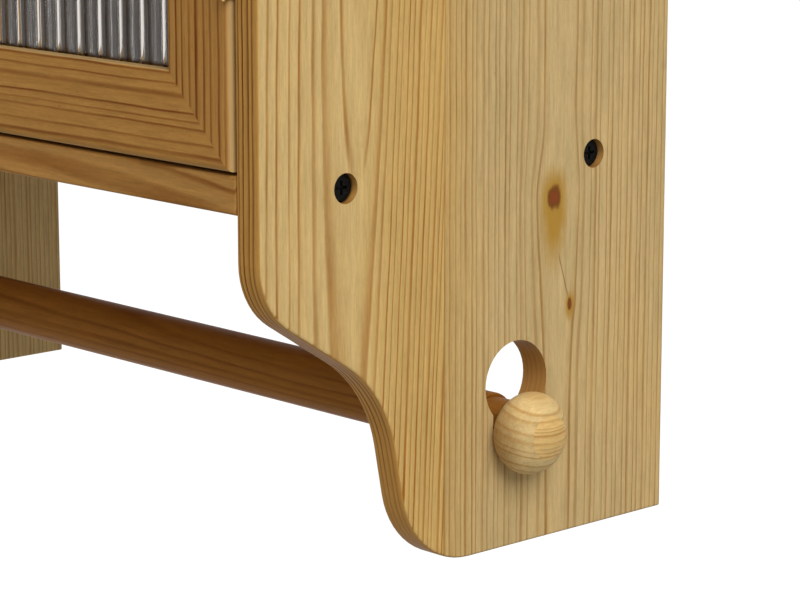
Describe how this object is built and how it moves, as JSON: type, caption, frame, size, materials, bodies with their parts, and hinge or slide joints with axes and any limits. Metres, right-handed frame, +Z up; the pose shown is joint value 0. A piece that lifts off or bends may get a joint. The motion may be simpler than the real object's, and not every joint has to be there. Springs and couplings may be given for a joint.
{
  "type": "kitchen wall cabinet",
  "caption": "Pine wall cabinet with curved side panels, two mitred reeded-glass doors on butt hinges, an inner shelf and a lift-out rail with ball knobs in keyholes.",
  "frame": {"origin": "middle between the two wall screw holes, on the wall plane at the back of the hanging rail", "axes": "+Y into the wall, so the front faces -Y; +Z up; +X to the right as seen from the front"},
  "size_m": [0.657, 0.3355, 0.66],
  "materials": {
    "side_panel_wood": "clear satin varnish",
    "board_wood": "clear satin varnish",
    "back_wood": "clear matt varnish",
    "door_wood": "clear satin varnish",
    "turned_wood": "clear satin varnish",
    "dowel_wood": "raw",
    "black_steel": "black oxide",
    "zinc_steel": "zinc plated",
    "hinge_brass": "satin brass",
    "reeded_glass": "clear, reeded",
    "catch_plastic": "brown, moulded",
    "magnet_ferrite": "raw ferrite"
  },
  "bodies": {
    "carcass": {"side_panel_right": "side_panel_wood", "side_panel_left": "side_panel_wood", "bottom_shelf": "board_wood", "top_board": "board_wood", "inner_shelf": "board_wood", "hanging_rail": "board_wood", "back_panel": "back_wood", "board_dowels": "dowel_wood", "hanging_rail_dowels": "dowel_wood", "connector_bolts_right": "black_steel", "connector_bolts_left": "black_steel", "shelf_barrel_nuts": "zinc_steel", "top_barrel_nuts": "zinc_steel", "shelf_pins": "zinc_steel", "catch_pole_plates": "zinc_steel", "catch_screws": "zinc_steel", "right_jamb_leaf_lower": "hinge_brass", "right_jamb_leaf_upper": "hinge_brass", "right_hinge_pin_lower": "hinge_brass", "right_hinge_pin_upper": "hinge_brass", "right_jamb_leaf_screws": "hinge_brass", "left_jamb_leaf_lower": "hinge_brass", "left_jamb_leaf_upper": "hinge_brass", "left_hinge_pin_lower": "hinge_brass", "left_hinge_pin_upper": "hinge_brass", "left_jamb_leaf_screws": "hinge_brass", "catch_cases": "catch_plastic", "catch_magnets": "magnet_ferrite"},
    "right_door": {"right_door_hinge_stile": "door_wood", "right_door_closing_stile": "door_wood", "right_door_top_rail": "door_wood", "right_door_bottom_rail": "door_wood", "right_door_beads": "door_wood", "right_door_knob": "turned_wood", "right_door_corner_keys": "dowel_wood", "right_door_strike": "zinc_steel", "right_door_strike_screw": "zinc_steel", "right_door_knob_screw": "zinc_steel", "right_door_leaf_lower": "hinge_brass", "right_door_leaf_upper": "hinge_brass", "right_door_leaf_screws": "hinge_brass", "right_door_glass": "reeded_glass"},
    "left_door": {"left_door_hinge_stile": "door_wood", "left_door_closing_stile": "door_wood", "left_door_top_rail": "door_wood", "left_door_bottom_rail": "door_wood", "left_door_beads": "door_wood", "left_door_knob": "turned_wood", "left_door_corner_keys": "dowel_wood", "left_door_strike": "zinc_steel", "left_door_strike_screw": "zinc_steel", "left_door_knob_screw": "zinc_steel", "left_door_leaf_lower": "hinge_brass", "left_door_leaf_upper": "hinge_brass", "left_door_leaf_screws": "hinge_brass", "left_door_glass": "reeded_glass"},
    "rail": {"towel_rail": "turned_wood", "rail_knob_right": "turned_wood", "rail_knob_left": "turned_wood", "rail_knob_dowels": "dowel_wood"}
  },
  "joints": [
    {"name": "right_door_hinge", "type": "hinge", "parent": "carcass", "child": "right_door", "pos_m": [0.281, -0.3052, -0.179], "axis": [0, 0, 1], "range_deg": [0, 200]},
    {"name": "left_door_hinge", "type": "hinge", "parent": "carcass", "child": "left_door", "pos_m": [-0.281, -0.3052, -0.179], "axis": [0, 0, -1], "range_deg": [0, 200]},
    {"name": "rail_lift", "type": "slide", "parent": "carcass", "child": "rail", "axis": [0, 0, 1], "range_m": [0, 0.0263]}
  ]
}
